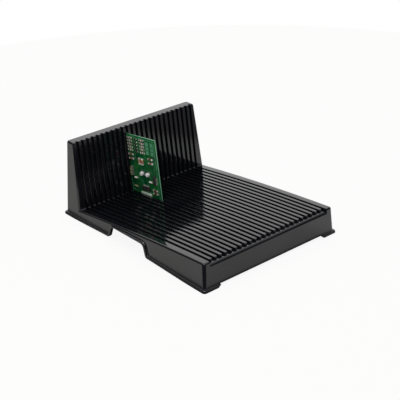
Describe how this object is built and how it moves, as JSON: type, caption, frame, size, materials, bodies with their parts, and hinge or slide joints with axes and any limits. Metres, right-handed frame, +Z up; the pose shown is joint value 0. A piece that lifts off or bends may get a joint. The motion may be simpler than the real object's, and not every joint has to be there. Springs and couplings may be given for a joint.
{
  "type": "pcb magazine rack",
  "caption": "Black moulded L-shaped rack with ribbed deck and back wall whose slots hold circuit boards on edge, shown with one board in place.",
  "frame": {"origin": "on the table, in the middle of the rack's footprint", "axes": "+X across the slots, -Y towards the open front, +Y towards the back wall, +Z up"},
  "size_m": [0.269, 0.355, 0.129],
  "materials": {
    "rack_plastic": "glossy",
    "laminate": "semi-gloss",
    "pale_ceramic": "satin",
    "white_ceramic": "satin",
    "tin": "satin",
    "black_epoxy": "matte",
    "orange_resin": "semi-gloss",
    "can_aluminium": "satin",
    "grey_plastic": "matte",
    "gold_plate": "satin",
    "pale_plastic": "matte"
  },
  "bodies": {
    "rack": {"skirt": "rack_plastic", "deck_plate": "rack_plastic", "wall_shell": "rack_plastic", "deck_ribs": "rack_plastic", "wall_ribs": "rack_plastic", "deck_borders": "rack_plastic", "wall_borders": "rack_plastic"},
    "circuit_board": {"board_laminate": "laminate", "resistor_bodies": "pale_ceramic", "resistor_ends": "tin", "diode_bodies": "black_epoxy", "diode_tabs": "tin", "ceramic_capacitors": "pale_ceramic", "capacitor_ends": "tin", "tantalum_bodies": "orange_resin", "tantalum_ends": "tin", "can_bases": "black_epoxy", "capacitor_cans": "can_aluminium", "ferrite_chokes": "white_ceramic", "choke_ends": "tin", "chip_bodies": "black_epoxy", "chip_leads": "tin", "header_body": "grey_plastic", "header_pins": "gold_plate", "terminal_strip": "pale_plastic"}
  },
  "joints": [
    {"name": "board_lift", "type": "slide", "parent": "rack", "child": "circuit_board", "axis": [0, 0.0924, 0.9957], "range_m": [0, 0.125]}
  ]
}
